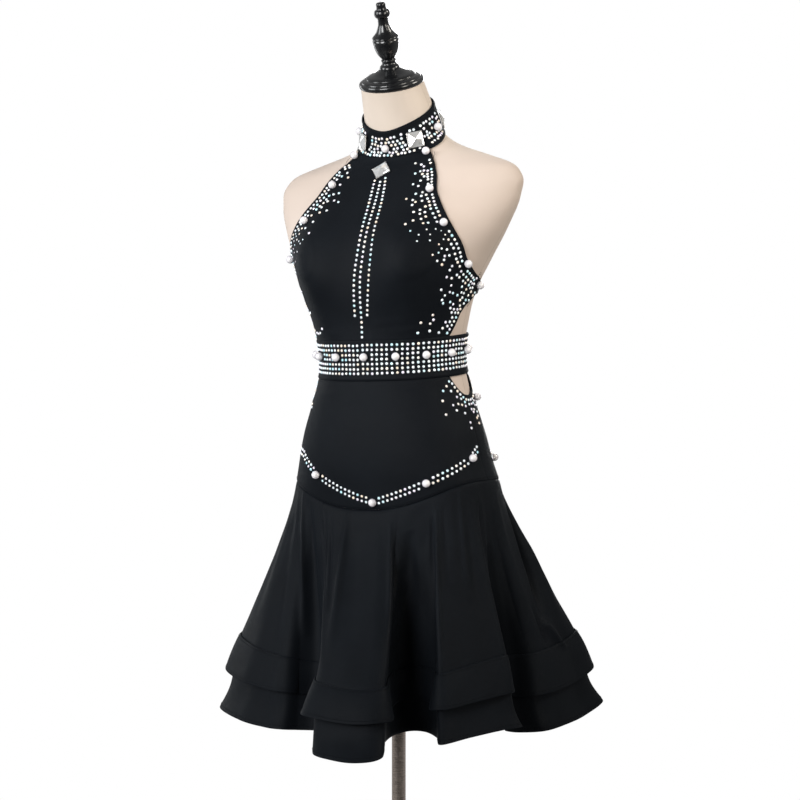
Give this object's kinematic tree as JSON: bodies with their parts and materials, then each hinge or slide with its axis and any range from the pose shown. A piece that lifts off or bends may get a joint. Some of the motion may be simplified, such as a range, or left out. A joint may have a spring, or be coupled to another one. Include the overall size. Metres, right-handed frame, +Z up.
{
  "type": "salsa dance dress on dress form",
  "caption": "Black halter salsa dress with open back, jewelled belt and flounced flared skirt, standing on a limbless dress form with a turned finial and steel pole.",
  "frame": {"origin": "on the floor under the pole, in the middle of the round base's underside", "axes": "+Z up along the pole, the dress faces -Y, the wearer's left is +X"},
  "size_m": [0.5259, 0.5464, 1.5782],
  "materials": {
    "jersey": "matte black stretch jersey with a faint cool sheen",
    "form_cover": "cream stretch cover, smooth and matte",
    "lacquer": "turned wood, black gloss lacquer",
    "steel": "brushed",
    "crystal": "clear cut stone over a silver backing",
    "rhinestone": "foil-backed, with a rainbow coating",
    "pearl": "white pearl lustre"
  },
  "bodies": {
    "root": {"form_torso": "form_cover", "neck_cap": "lacquer", "finial": "lacquer", "pole": "steel", "pole_socket": "steel", "base": "steel", "collar": "jersey", "bodice_front": "jersey", "back_strap": "jersey", "waist_belt": "jersey", "hip_front": "jersey", "hip_back": "jersey", "skirt_front": "jersey", "skirt_back": "jersey", "upper_flounce_front": "jersey", "upper_flounce_back": "jersey", "lower_flounce_front": "jersey", "lower_flounce_back": "jersey", "collar_crystal_front_left": "crystal", "collar_crystal_front_right": "crystal", "collar_crystal_back_left": "crystal", "collar_crystal_back_right": "crystal", "bodice_crystal": "crystal"}
  },
  "joints": []
}
